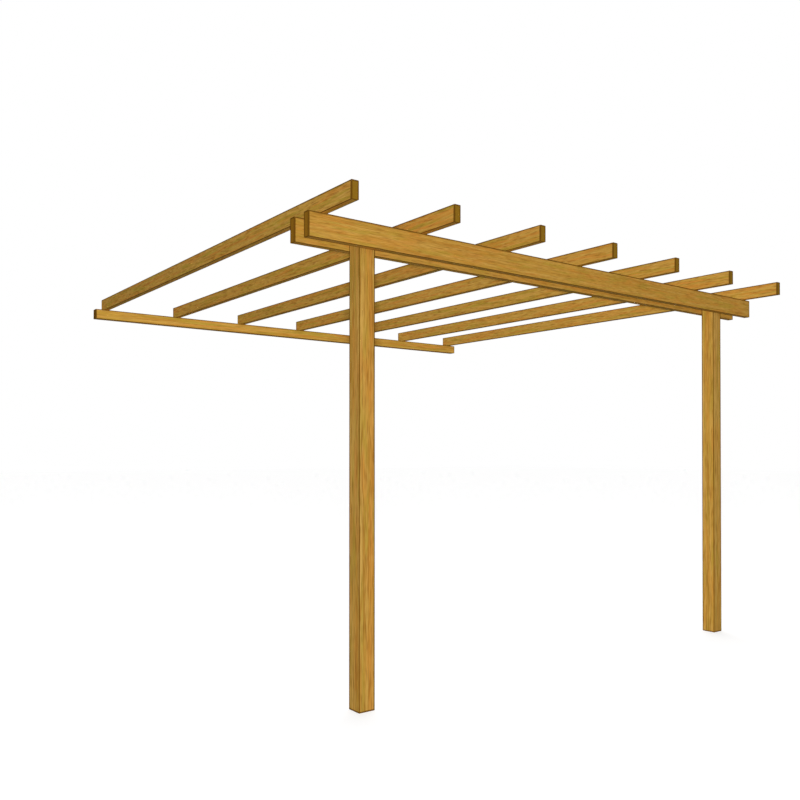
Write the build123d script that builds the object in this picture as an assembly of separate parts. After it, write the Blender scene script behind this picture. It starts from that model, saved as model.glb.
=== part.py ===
from build123d import *
import math
import os

# Lean-to pergola: two posts, a pair of beams that clamp the post heads, sloping rafters and a wall plate.
# Millimetres. X runs along the beams, +Y points from the posts to the plate, +Z is up. The origin is the
# middle of the plate's back face, and the posts' feet stand at ground_z.

# Timber sections, as planed
post_side = 100
beam_thickness = 44
beam_height = 130
rafter_width = 43
rafter_height = 94
plate_thickness = 75
plate_height = 80
arris_radius = 3

# Layout
headroom = 2450
walkway_width = 3136
beam_overhang = 332
wall_to_posts = 3580
rafter_overhang = 290
rafter_count = 7
rafter_end_margin = 67
plate_rise = 30
seat_depth = 1

# Heights, from the plate's top down to the beams and the posts' feet
plate_top_z = plate_height / 2
beam_top_z = plate_top_z - plate_rise
ground_z = beam_top_z - beam_height - headroom

# Depths, from the plate's back face at Y = 0 out to the rafters' free ends
post_back_y = -wall_to_posts
post_front_y = post_back_y - post_side
back_beam_inner_y = post_back_y + beam_thickness
front_beam_outer_y = post_front_y - beam_thickness
rafter_front_y = front_beam_outer_y - rafter_overhang

# Widths, the same on both sides of X = 0
post_middle_x = (walkway_width + post_side) / 2
beam_length = walkway_width + 2 * post_side + 2 * beam_overhang
outer_rafter_x = (beam_length - rafter_width) / 2 - rafter_end_margin
rafter_spacing = 2 * outer_rafter_x / (rafter_count - 1)

# The rafters fall from the plate to the beams. Their underside lies seat_depth below the plate's top at its
# back face, and seat_depth below the beams' top at the back beam's inner face, so every level seat is full
# width.
fall_per_mm = plate_rise / -back_beam_inner_y


def underside_z(y):
    return plate_top_z - seat_depth + fall_per_mm * y


def timber(width, height, length):
    """A planed bar standing on Z = 0, with its four long arrises eased."""
    return extrude(RectangleRounded(width, height, arris_radius), length)


def post(x):
    middle_y = (post_front_y + post_back_y) / 2
    return Pos(x, middle_y, ground_z) * timber(post_side, post_side, beam_top_z - ground_z)


def level_bar(thickness, height, front_y, top_z):
    """A bar on edge along X, as long as the beams, with its front face at front_y."""
    lying = Rot(0, 90, 0) * timber(height, thickness, beam_length)
    return Pos(-beam_length / 2, front_y + thickness / 2, top_z - height / 2) * lying


def rafter_blank():
    """A rafter lying on the fall, cut plumb at both ends, with its four long arrises eased."""
    plumb_height = rafter_height * math.sqrt(1 + fall_per_mm**2)
    front_low = (rafter_front_y, underside_z(rafter_front_y))
    back_low = (0, underside_z(0))
    back_high = (0, back_low[1] + plumb_height)
    front_high = (rafter_front_y, front_low[1] + plumb_height)
    side = make_face(Polyline(front_low, back_low, back_high, front_high, close=True))
    sawn = extrude(Plane.YZ * side, rafter_width / 2, both=True)
    long_edges = sawn.edges().sort_by(SortBy.LENGTH)[-4:]
    return fillet(long_edges, arris_radius)


def seat_cut(front_y, back_y, bearing_z):
    """The sliver that comes out of a rafter's underside, up to the level bearing below it."""
    sliver = Box(rafter_width, back_y - front_y, rafter_height, align=(Align.CENTER, Align.MIN, Align.MAX))
    return Pos(0, front_y, bearing_z) * sliver


def rafter():
    seats = [
        seat_cut(-plate_thickness, 0, plate_top_z),
        seat_cut(post_back_y, back_beam_inner_y, beam_top_z),
        seat_cut(front_beam_outer_y, post_front_y, beam_top_z),
    ]
    return rafter_blank() - seats


parts = {
    "post_left": post(-post_middle_x),
    "post_right": post(post_middle_x),
    "front_beam": level_bar(beam_thickness, beam_height, front_beam_outer_y, beam_top_z),
    "back_beam": level_bar(beam_thickness, beam_height, post_back_y, beam_top_z),
    "wall_plate": level_bar(plate_thickness, plate_height, -plate_thickness, plate_top_z),
}
notched_rafter = rafter()
for index in range(rafter_count):
    rafter_x = index * rafter_spacing - outer_rafter_x
    parts[f"rafter_{index + 1}"] = Pos(rafter_x, 0, 0) * notched_rafter

os.makedirs("parts", exist_ok=True)
for name, shape in parts.items():
    export_step(shape, f"parts/{name}.step")
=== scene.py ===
import math

import bpy
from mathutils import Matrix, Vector


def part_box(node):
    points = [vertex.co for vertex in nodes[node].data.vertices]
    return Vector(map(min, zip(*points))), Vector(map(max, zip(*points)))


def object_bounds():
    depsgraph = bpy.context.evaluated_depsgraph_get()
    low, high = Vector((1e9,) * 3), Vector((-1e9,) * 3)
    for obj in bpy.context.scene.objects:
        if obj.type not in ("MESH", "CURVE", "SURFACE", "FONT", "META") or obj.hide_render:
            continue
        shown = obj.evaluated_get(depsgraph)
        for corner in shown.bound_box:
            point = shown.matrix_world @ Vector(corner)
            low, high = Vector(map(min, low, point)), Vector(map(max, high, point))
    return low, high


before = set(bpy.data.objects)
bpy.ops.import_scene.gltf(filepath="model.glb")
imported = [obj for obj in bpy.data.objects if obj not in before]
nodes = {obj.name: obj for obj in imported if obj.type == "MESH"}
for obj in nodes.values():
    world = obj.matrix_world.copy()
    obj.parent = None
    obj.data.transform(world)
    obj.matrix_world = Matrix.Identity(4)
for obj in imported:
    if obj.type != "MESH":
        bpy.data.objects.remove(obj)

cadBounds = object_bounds()
groundHeight = cadBounds[0][2]
print("frame loaded:", len(nodes), "timbers")


# The camera stands at chest height, in front of the frame and to its left, and looks level across it
view = {
    "place": (-4.012, -7.259, -1.212),
    "turn": -36.983,  # degrees from +Y, minus towards +X
    "tilt": 0.530,  # degrees above level
    "lens": 36.525,
    "sensor": 36.0,
    "slide": -0.0158,  # sideways and upward shift, as shares of the picture's width
    "rise": 0.0591,
    "farthest": 200.0,  # metres
}


def addCamera():
    data = bpy.data.cameras.new("viewCamera")
    data.lens = view["lens"]
    data.sensor_width = view["sensor"]
    data.shift_x = view["slide"]
    data.shift_y = view["rise"]
    data.clip_end = view["farthest"]
    camera = bpy.data.objects.new("viewCamera", data)
    camera.location = view["place"]
    camera.rotation_euler = (math.radians(90 + view["tilt"]), 0, math.radians(view["turn"]))
    bpy.context.scene.collection.objects.link(camera)
    bpy.context.scene.camera = camera


addCamera()
print("camera placed")


def linear(red, green, blue):
    # a colour as read off a screen, 0 to 255, turned into the renderer's own values by the usual sRGB curve
    def curve(level):
        level = level / 255
        return level / 12.92 if level <= 0.04045 else ((level + 0.055) / 1.055) ** 2.4

    return (curve(red), curve(green), curve(blue), 1)


class Wire:
    # One output socket of a node tree. Sums on wires and numbers add Math nodes.
    def __init__(self, tree, socket=None):
        self.tree = tree
        self.socket = socket

    def plug(self, value, socket):
        if isinstance(value, Wire):
            self.tree.links.new(value.socket, socket)
        else:
            socket.default_value = value

    def node(self, kind, settings=None, inputs=None, output=0):
        # any node: its settings first, then a value or a wire for each named or numbered socket
        made = self.tree.nodes.new(kind)
        for name, value in (settings or {}).items():
            setattr(made, name, value)
        for name, value in (inputs or {}).items():
            self.plug(value, pick(made.inputs, name))
        return Wire(self.tree, pick(made.outputs, output))

    def sum(self, operation, first, second=0.0):
        return self.node("ShaderNodeMath", {"operation": operation}, {0: first, 1: second})

    def __add__(self, other):
        return self.sum("ADD", self, other)

    def __sub__(self, other):
        return self.sum("SUBTRACT", self, other)

    def __rsub__(self, other):
        return self.sum("SUBTRACT", other, self)

    def __mul__(self, other):
        return self.sum("MULTIPLY", self, other)

    def __truediv__(self, other):
        return self.sum("DIVIDE", self, other)

    def __rtruediv__(self, other):
        return self.sum("DIVIDE", other, self)

    def __pow__(self, other):
        return self.sum("POWER", self, other)

    def __rpow__(self, other):
        return self.sum("POWER", other, self)

    __radd__ = __add__
    __rmul__ = __mul__

    def least(self, other):
        return self.sum("MINIMUM", self, other)

    def most(self, other):
        return self.sum("MAXIMUM", self, other)

    def below(self, other):
        return self.sum("LESS_THAN", self, other)

    def size(self):
        return self.sum("ABSOLUTE", self)

    def fraction(self):
        return self.sum("FRACT", self)

    def step(self, start, end):
        # 0 below start, 1 above end, and a smooth slope between
        settings = {"interpolation_type": "SMOOTHSTEP"}
        return self.node("ShaderNodeMapRange", settings, {"Value": self, "From Min": start, "From Max": end})

    def vector(self, operation, other):
        return self.node("ShaderNodeVectorMath", {"operation": operation}, {0: self, 1: other})

    def along(self, axis):
        return self.node("ShaderNodeVectorMath", {"operation": "DOT_PRODUCT"}, {0: self, 1: axis}, "Value")

    def scaled(self, amount):
        return self.node("ShaderNodeVectorMath", {"operation": "SCALE"}, {0: self, "Scale": amount})

    def noise(self, stretch, detail=1.0, output=0):
        # noise over this vector, with so many lumps to the metre on each axis
        place = self.vector("MULTIPLY", stretch)
        return place.node("ShaderNodeTexNoise", {}, {"Vector": place, "Scale": 1.0, "Detail": detail}, output)

    def paint(self, colour):
        # a first coat, to be mixed with others
        made = self.node("ShaderNodeRGB")
        made.socket.default_value = colour
        return made

    def towards(self, colour, amount):
        settings = {"data_type": "RGBA"}
        return self.node("ShaderNodeMix", settings, {"Factor": amount, "A": self, "B": colour}, "Result")


def pick(sockets, key):
    # a socket by its number or its name; a node at the end of a tree has none to give
    if key is None:
        return None
    if isinstance(key, int):
        return sockets[key]
    return next(socket for socket in sockets if socket.name == key and socket.enabled)


def newMaterial(name):
    material = bpy.data.materials.new(name)
    material.use_nodes = True
    material.node_tree.nodes.clear()
    return material


# The floor and the sky are white where they are seen, and light the timber as pale grey
surroundings = {
    "skyLight": 0.35,
    "floorSize": 120.0,  # metres
    "floorBounce": (0.09, 0.09, 0.09, 1),  # the floor as the timber sees it
    "floorColour": (0.4, 0.4, 0.4, 1),  # takes the shadows, and with the glow comes to white
    "floorGlow": 0.68,
}


def seenDirectly(start):
    path = start.node("ShaderNodeLightPath", output="Is Camera Ray")
    paths = path.socket.node.outputs
    glossy = Wire(start.tree, paths["Is Glossy Ray"])
    clear = Wire(start.tree, paths["Is Transmission Ray"])
    return path.most(glossy).most(clear)


def addSky():
    world = bpy.data.worlds.new("paleSky")
    world.use_nodes = True
    world.node_tree.nodes.clear()
    start = Wire(world.node_tree)
    white = (1, 1, 1, 1)
    light = start.node("ShaderNodeBackground", {}, {"Color": white, "Strength": surroundings["skyLight"]})
    seen = start.node("ShaderNodeBackground", {}, {"Color": white, "Strength": 1.0})
    both = start.node("ShaderNodeMixShader", {}, {0: seenDirectly(start), 1: light, 2: seen})
    start.node("ShaderNodeOutputWorld", {}, {"Surface": both}, output=None)
    bpy.context.scene.world = world


def addFloor():
    half = surroundings["floorSize"] / 2
    mesh = bpy.data.meshes.new("floor")
    corners = [(x, y, groundHeight) for x, y in ((-half, -half), (half, -half), (half, half), (-half, half))]
    mesh.from_pydata(corners, [], [(0, 1, 2, 3)])
    floor = bpy.data.objects.new("floor", mesh)
    bpy.context.scene.collection.objects.link(floor)
    material = newMaterial("paleFloor")
    start = Wire(material.node_tree)
    dim = start.node("ShaderNodeBsdfDiffuse", {}, {"Color": surroundings["floorBounce"]})
    matt = start.node("ShaderNodeBsdfDiffuse", {}, {"Color": surroundings["floorColour"]})
    glow = start.node("ShaderNodeEmission", {}, {"Strength": surroundings["floorGlow"]})
    lit = start.node("ShaderNodeAddShader", {}, {0: matt, 1: glow})
    both = start.node("ShaderNodeMixShader", {}, {0: seenDirectly(start), 1: dim, 2: lit})
    # clear from below, so that a view from there shows the frame
    below = start.node("ShaderNodeNewGeometry", output="Backfacing")
    clear = start.node("ShaderNodeBsdfTransparent")
    oneSided = start.node("ShaderNodeMixShader", {}, {0: below, 1: both, 2: clear})
    start.node("ShaderNodeOutputMaterial", {}, {"Surface": oneSided}, output=None)
    material.cycles.emission_sampling = "NONE"  # the glow isn't a lamp
    mesh.materials.append(material)


# A small lamp at the camera, as bright far off as near, and a soft one from behind, the right and above
lamps = {
    "frontPower": 32.0,
    "frontRadius": 0.1,  # metres
    "behindPower": 2.2,
    "behindFrom": (0.5, 0.62, 0.6),
    "behindSpread": 60.0,  # degrees
}


def addLamps():
    data = bpy.data.lights.new("frontLamp", "POINT")
    data.energy = lamps["frontPower"]
    data.shadow_soft_size = lamps["frontRadius"]
    data.use_nodes = True
    start = Wire(data.node_tree)
    even = start.node("ShaderNodeLightFalloff", {}, {"Strength": 1.0}, "Constant")
    start.plug(even, data.node_tree.nodes["Emission"].inputs["Strength"])
    front = bpy.data.objects.new("frontLamp", data)
    front.location = view["place"]
    front.visible_camera = False
    bpy.context.scene.collection.objects.link(front)

    data = bpy.data.lights.new("behindLamp", "SUN")
    data.energy = lamps["behindPower"]
    data.angle = math.radians(lamps["behindSpread"])
    behind = bpy.data.objects.new("behindLamp", data)
    behind.rotation_euler = Vector(lamps["behindFrom"]).to_track_quat("Z", "Y").to_euler()
    bpy.context.scene.collection.objects.link(behind)


addSky()
addFloor()
addLamps()
print("floor, sky and lamps placed")


# The stain's colours, as they show in full light
stain = {
    "golden": linear(195, 148, 62),
    "straw": linear(196, 152, 68),
    "light": linear(213, 172, 90),
    "orange": linear(202, 133, 54),
    "olive": linear(176, 147, 54),
    "brown": linear(152, 100, 34),
    "arris": linear(110, 73, 15),
}

# The grain's figures. The scale is in lumps to the metre, along the timber and across it, and the seed keeps
# the figures apart. Between its two levels a figure comes to show. Patches, dashes and glints take each
# timber's own scale.
figures = {
    "bands": {"scale": (0.25, 42.0), "seed": 11, "shows": (0.46, 0.62)},
    "warmPatches": {"seed": 31, "shows": (0.48, 0.64)},
    "greenPatches": {"seed": 57, "shows": (0.48, 0.64)},
    "strands": {"scale": (1.6, 95.0), "seed": 71, "shows": (0.52, 0.68)},
    "dashes": {"seed": 93, "shows": (0.5, 0.72)},
    "glints": {"seed": 17, "shows": (0.54, 0.72)},
    "fibres": {"scale": (24.0, 520.0), "seed": 5},
    "drift": {"scale": (1.1, 9.0), "seed": 3, "detail": 2.0},
    "fray": {"scale": (14.0, 60.0), "seed": 23},
}
seedStride = (1, 0.37, 0.61)  # metres that a figure moves for each step of its seed
middleLevel = 0.5  # every figure swings about this level, between 0 and 1

# Rings, sway and streaks, and what tells a sawn end or an arris
growth = {
    "lateRises": (0.25, 0.86),  # dark late wood comes in between these shares of a ring's width
    "lateEnds": (0.9, 1.0),
    "wander": (1.4, 7.0),  # lumps to the metre in the grain's sway, along the timber and across it
    "streakCore": 0.3,  # share of a streak's half width that has its full strength
    "endFace": (0.5, 0.8),  # a face that looks this far along the timber is a sawn end
    "frayDepth": 0.004,  # how far the dark line along an arris strays, in metres
}

# How strongly each mark takes the stain, as a share
coats = {
    "dashes": 0.55,
    "glints": 0.45,
    "late": 0.22,
    "arris": 0.92,
}

# How much each mark lightens or darkens the timber
shades = {
    "fibre": 0.5,
    "drift": 0.08,
    "dash": 0.25,
    "end": 1.1,
    "endLate": 0.4,
    "endFibre": 0.3,
}

# How rough the surface is, and the heights in its relief
surface = {
    "roughness": 0.76,
    "lateSmoother": 0.06,
    "fibreRougher": 0.2,
    "endRougher": 0.1,
    "lateHeight": 0.3,
    "fibreHeight": 0.6,
    "dashDepth": 0.3,
    "bump": 0.35,
    "bumpDistance": 0.0006,  # metres
    "sheen": 0.015,
}


def layOut(start, timber):
    # where a point lies in its own timber, in metres from its middle: along the grain, then both ways across
    low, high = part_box(timber["name"])
    middle = (low + high) / 2
    here = start.node("ShaderNodeTexCoord", output="Object")
    offset = here.vector("SUBTRACT", middle)
    place = [offset.along(axis) for axis in timber["axes"]]
    halves = [length / 2 for length in timber["size"]]
    return place, halves


def rippled(place, timber):
    # the timber's own place, shifted by its seed, with the grain wandering a little across it
    along, wide, tall = place
    straight = along.node("ShaderNodeCombineXYZ", {}, {0: along + timber["seed"], 1: wide, 2: tall})
    alongScale, acrossScale = growth["wander"]
    sway = straight.noise((alongScale, acrossScale, acrossScale), output="Color")
    sway = sway.vector("SUBTRACT", (middleLevel, middleLevel, middleLevel))
    return straight.vector("ADD", sway.vector("MULTIPLY", (0, timber["ripple"], timber["ripple"])))


def figure(spot, name, ownScale=None):
    # a figure of the grain, drawn out along the timber
    kind = figures[name]
    along, across = ownScale or kind["scale"]
    shifted = spot.vector("ADD", [kind["seed"] * stride for stride in seedStride])
    return shifted.noise((along, across, across), kind.get("detail", 1.0))


def showing(spot, name, ownScale=None):
    # 1 where a figure shows, 0 where it doesn't
    return figure(spot, name, ownScale).step(*figures[name]["shows"])


def distance(spot, wide, tall):
    # how far a point is, across the timber, from a line that runs along it
    fromWide = spot.along((0, 1, 0)) - wide
    fromTall = spot.along((0, 0, 1)) - tall
    return (fromWide * fromWide + fromTall * fromTall) ** 0.5


def lateWood(spot, timber):
    # the dark part of each ring, round a pith that lies beside the timber; the rings taper a little along it
    reach = distance(spot, *timber["pith"])
    ring = (reach + spot.along((timber["taper"], 0, 0))) / timber["ringWidth"]
    cut = ring.fraction()
    return cut.step(*growth["lateRises"]) * (1 - cut.step(*growth["lateEnds"]))


def streakMask(spot, streaks):
    # long streaks of orange heartwood, each given by its place across the timber, half width and strength
    total = 0.0
    for wide, tall, reach, strength in streaks:
        away = distance(spot, wide, tall)
        total = (1 - away.step(reach * growth["streakCore"], reach)) * strength + total
    return total


def arrisMask(spot, place, halves, timber):
    # 1 along the long arrises and round the ends, 0 on the faces
    depth = []
    for part, half, crisp in zip(place, halves, (0, *timber["crisp"])):
        inward = half - part.size()
        if crisp:
            inward = inward * (1 + part.below(0) * crisp)
        depth.append(inward)
    # of the three depths below the faces, the middle one is the way to the nearest arris
    inner = depth[1].least(depth[2])
    outer = depth[1].most(depth[2])
    nearest = inner.most(outer.least(depth[0]))
    fray = (figure(spot, "fray") - middleLevel) * growth["frayDepth"]
    return 1 - (nearest + fray).step(*timber["arris"])


def readGrain(start, spot, timber):
    # the marks that more than one part of the finish needs
    dash = figure(spot, "dashes", timber["dashes"])
    facing = start.node("ShaderNodeTexCoord", output="Normal").along(timber["axes"][0]).size()
    return {
        "late": lateWood(spot, timber),
        "fibre": figure(spot, "fibres") - middleLevel,
        "drift": figure(spot, "drift") - middleLevel,
        "dash": dash - middleLevel,
        "darkDash": dash.step(*figures["dashes"]["shows"]),
        "endFace": facing.step(*growth["endFace"]),
    }


def sideColour(start, spot, marks, timber):
    # the stain on the long faces, coat by coat
    contrast = timber["contrast"]
    green = showing(spot, "greenPatches", timber["patches"])
    warm = showing(spot, "warmPatches", timber["patches"])
    glint = showing(spot, "glints", timber["dashes"])
    colour = start.paint(timber["base"])
    colour = colour.towards(stain["light"], showing(spot, "bands") * timber["paleBands"])
    colour = colour.towards(stain["olive"], green * timber["olive"])
    colour = colour.towards(stain["orange"], warm * timber["warmth"])
    if timber["streaks"]:
        colour = colour.towards(stain["orange"], streakMask(spot, timber["streaks"]))
    colour = colour.towards(stain["brown"], showing(spot, "strands") * timber["strands"])
    colour = colour.towards(stain["brown"], marks["darkDash"] * coats["dashes"] * contrast)
    colour = colour.towards(stain["light"], glint * coats["glints"] * contrast)
    colour = colour.towards(stain["brown"], marks["late"] * coats["late"])
    # then the fine lights and darks
    shade = 1 + marks["fibre"] * shades["fibre"] + marks["drift"] * shades["drift"]
    shade = shade - marks["dash"] * shades["dash"] * contrast
    return colour.scaled(shade * timber["tone"])


def endColour(start, marks, timber):
    shade = shades["end"] - marks["late"] * shades["endLate"] + marks["fibre"] * shades["endFibre"]
    return start.paint(timber["endGrain"]).scaled(shade * timber["endTone"])


def finishTimber(timber):
    material = newMaterial(timber["name"] + "_wood")
    start = Wire(material.node_tree)
    place, halves = layOut(start, timber)
    spot = rippled(place, timber)
    marks = readGrain(start, spot, timber)
    late, fibre, endFace = marks["late"], marks["fibre"], marks["endFace"]

    colour = sideColour(start, spot, marks, timber).towards(endColour(start, marks, timber), endFace)
    colour = colour.towards(stain["arris"], arrisMask(spot, place, halves, timber) * coats["arris"])
    roughness = surface["roughness"] - late * surface["lateSmoother"]
    roughness = roughness + fibre * surface["fibreRougher"] + endFace * surface["endRougher"]
    height = late * surface["lateHeight"] + fibre * surface["fibreHeight"]
    height = height - marks["darkDash"] * surface["dashDepth"]
    relief = {"Strength": surface["bump"], "Distance": surface["bumpDistance"], "Height": height}
    finish = {
        "Base Color": colour,
        "Roughness": roughness,
        "Normal": start.node("ShaderNodeBump", {}, relief),
        "Specular IOR Level": surface["sheen"],
    }
    shader = start.node("ShaderNodeBsdfPrincipled", {}, finish)
    start.node("ShaderNodeOutputMaterial", {}, {"Surface": shader}, output=None)
    return material


def dress(timber):
    piece = nodes[timber["name"]]
    piece.data.materials.clear()
    piece.data.materials.append(finishTimber(timber))


# Square posts, grain upright
posts = {
    "post_left": {
        "pith": (0.13, 0.11),  # the rings' middle, in metres across the timber from its own middle
        "seed": 11.0,
        "tone": 1.07,  # brightness
        "warmth": 0.42,  # strength of the orange patches
        "streaks": [(0.026, -0.05, 0.017, 0.62), (-0.05, -0.024, 0.014, 0.35)],
    },
    "post_right": {"pith": (-0.12, 0.14), "seed": 20.0, "tone": 1.06, "warmth": 0.3, "streaks": []},
}
postWood = {
    "width": 0.1,
    "ringWidth": 0.0055,
    "taper": 0.004,  # how far the rings close in over each metre
    "ripple": 0.003,  # how far the grain wanders across the timber, in metres
    "arris": (0.005, 0.0105),  # the dark line is full up to the first depth and gone at the second
    "crisp": (1.2, 1.2),  # how much narrower it is on the low side of each way across; 0 leaves it as wide
    "patches": (3.0, 28.0),  # lumps to the metre, along the timber and across it
    "dashes": (9.0, 135.0),
    "contrast": 1.0,  # strength of the dashes and glints
    "paleBands": 0.75,
    "strands": 0.45,
    "olive": 0.6,  # strength of the olive patches
    "base": stain["golden"],
    "endGrain": linear(150, 108, 22),
    "endTone": 1.0,  # brightness of the sawn ends
}
for name, post in posts.items():
    low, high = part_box(name)
    dress({
        "name": name,
        "axes": [(0, 0, 1), (1, 0, 0), (0, 1, 0)],
        "size": (high.z - low.z, postWood["width"], postWood["width"]),
        **postWood,
        **post,
    })
print("posts finished")

# The two beams and the wall plate, grain level from left to right
levelBars = {
    "front_beam": {
        "pith": (0.12, 0.16),
        "seed": 35.0,
        "tone": 1.11,
        "warmth": 0.45,
        "olive": 0.6,
        "patches": (5.0, 48.0),
        "dashes": (15.0, 180.0),
        "endTone": 1.05,
    },
    "back_beam": {
        "pith": (-0.12, 0.15),
        "seed": 47.0,
        "tone": 1.08,
        "warmth": 0.3,
        "olive": 0.6,
        "patches": (5.0, 48.0),
        "dashes": (15.0, 180.0),
        "endTone": 1.0,
    },
    "wall_plate": {
        "pith": (0.11, -0.12),
        "seed": 59.0,
        "tone": 1.09,
        "warmth": 0.6,
        "olive": 0.9,
        "patches": (1.6, 48.0),
        "dashes": (8.0, 130.0),
        "endTone": 0.6,
    },
}
levelWood = {
    "ringWidth": 0.0056,
    "taper": 0.004,
    "ripple": 0.014,
    "arris": (0.0045, 0.0095),
    "crisp": (0.0, 3.0),
    "contrast": 0.8,
    "paleBands": 0.4,
    "strands": 0.3,
    "streaks": [],
    "base": stain["golden"],
    "endGrain": linear(156, 109, 28),
}
for name, bar in levelBars.items():
    low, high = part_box(name)
    dress({
        "name": name,
        "axes": [(1, 0, 0), (0, 1, 0), (0, 0, 1)],
        "size": tuple(high - low),
        **levelWood,
        **bar,
    })
print("beams and wall plate finished")

# The rafters, grain running along the slope
rafters = {
    "rafter_1": {"pith": (0.1, 0.12), "seed": 71.0, "tone": 1.18},
    "rafter_2": {"pith": (-0.09, -0.13), "seed": 78.0, "tone": 1.11},
    "rafter_3": {"pith": (0.11, -0.12), "seed": 85.0, "tone": 1.03},
    "rafter_4": {"pith": (0.1, 0.13), "seed": 92.0, "tone": 1.03},
    "rafter_5": {"pith": (-0.11, 0.11), "seed": 99.0, "tone": 1.02},
    "rafter_6": {"pith": (0.09, -0.13), "seed": 106.0, "tone": 1.03},
    "rafter_7": {"pith": (0.12, 0.11), "seed": 113.0, "tone": 1.03},
}
rafterWood = {
    "width": 0.043,
    "depth": 0.094,
    "ringWidth": 0.0052,
    "taper": 0.004,
    "ripple": 0.014,
    "arris": (0.0045, 0.0095),
    "crisp": (0.0, 3.0),
    "patches": (3.0, 64.0),
    "dashes": (15.0, 120.0),
    "contrast": 1.0,
    "paleBands": 0.15,
    "strands": 0.2,
    "olive": 0.9,
    "warmth": 0.64,
    "streaks": [],
    "base": stain["straw"],
    "endGrain": linear(152, 113, 32),
    "endTone": 1.0,
}
for name, rafter in rafters.items():
    low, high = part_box(name)
    run = high.y - low.y
    fall = (high.z - low.z - rafterWood["depth"]) / run
    slope = Vector((0, 1, fall)).normalized()
    dress({
        "name": name,
        "axes": [slope, (1, 0, 0), Vector((0, -slope.z, slope.y))],
        "size": (run, rafterWood["width"], rafterWood["depth"]),
        **rafterWood,
        **rafter,
    })
print("rafters finished")

bpy.context.scene.view_settings.view_transform = "Standard"
bpy.context.view_layer.update()
